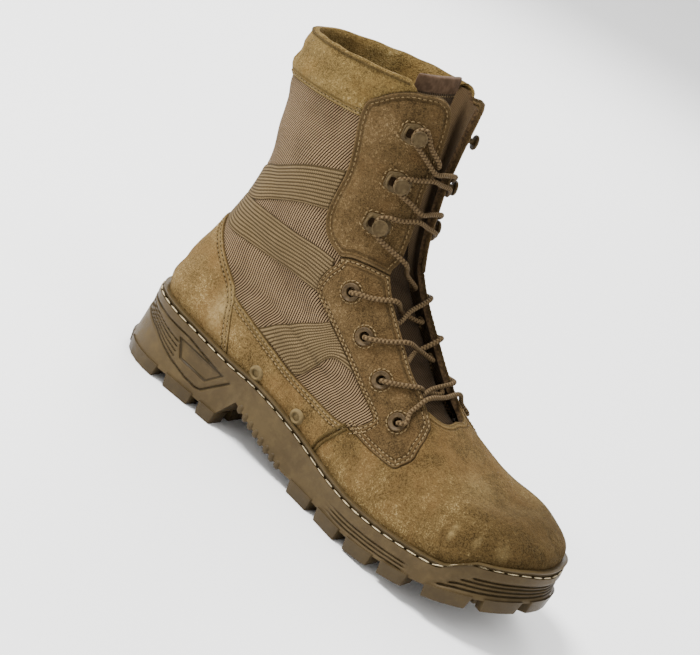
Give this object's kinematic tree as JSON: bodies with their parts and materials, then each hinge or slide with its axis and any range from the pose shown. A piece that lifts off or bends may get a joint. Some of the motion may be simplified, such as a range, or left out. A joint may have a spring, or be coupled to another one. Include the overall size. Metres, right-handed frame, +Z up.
{
  "type": "hiking boot",
  "caption": "High-laced hiking boot for the left foot: hollow suede and fabric upper with a padded collar, tongue, laced eyelets and hooks, on a lugged rubber sole.",
  "frame": {"origin": "on the ground, under the centre of the boot's box, with the sole standing on z = 0", "axes": "+X towards the toe, +Y towards the outer (lateral) side of the foot, +Z up"},
  "size_m": [0.308, 0.1142, 0.237],
  "materials": {
    "rubber": "matte brown rubber of the tread",
    "rubber_side": "smooth brown rubber of the side wall and the lip",
    "suede": "coyote-brown rough-out leather, worn paler in patches",
    "suede_dark": "darker rough-out leather of the eyelet facings and the back strip",
    "cordura": "brown diagonal-weave nylon over a leather-coloured lining",
    "webbing": "ribbed olive-brown nylon webbing",
    "tongue": "brown mesh with a rolled edge of smooth leather",
    "lining": "tan lining",
    "lace": "round braided brown lace",
    "painted_brass": "brown painted metal, worn at the edges"
  },
  "bodies": {
    "root": {"outsole": "rubber", "midsole": "rubber_side", "welt": "rubber_side", "upper": "cordura", "insole": "lining", "tongue": "tongue", "vamp": "suede", "counter": "suede", "cuff": "suede", "backstay": "suede_dark", "saddle_in": "suede", "saddle_out": "suede", "eyestay_low_in": "suede_dark", "eyestay_low_out": "suede_dark", "eyestay_top_in": "suede_dark", "eyestay_top_out": "suede_dark", "laces": "lace", "vent_1": "painted_brass", "vent_2": "painted_brass", "webbing_ankle_in": "webbing", "webbing_ankle_out": "webbing", "webbing_heel_in": "webbing", "webbing_heel_out": "webbing", "webbing_arch_in": "webbing", "webbing_arch_out": "webbing", "eyelet_1_in": "painted_brass", "eyelet_1_out": "painted_brass", "eyelet_2_in": "painted_brass", "eyelet_2_out": "painted_brass", "eyelet_3_in": "painted_brass", "eyelet_3_out": "painted_brass", "eyelet_4_in": "painted_brass", "eyelet_4_out": "painted_brass", "hook_1_in": "painted_brass", "hook_1_out": "painted_brass", "hook_2_in": "painted_brass", "hook_2_out": "painted_brass", "hook_3_in": "painted_brass", "hook_3_out": "painted_brass"}
  },
  "joints": []
}
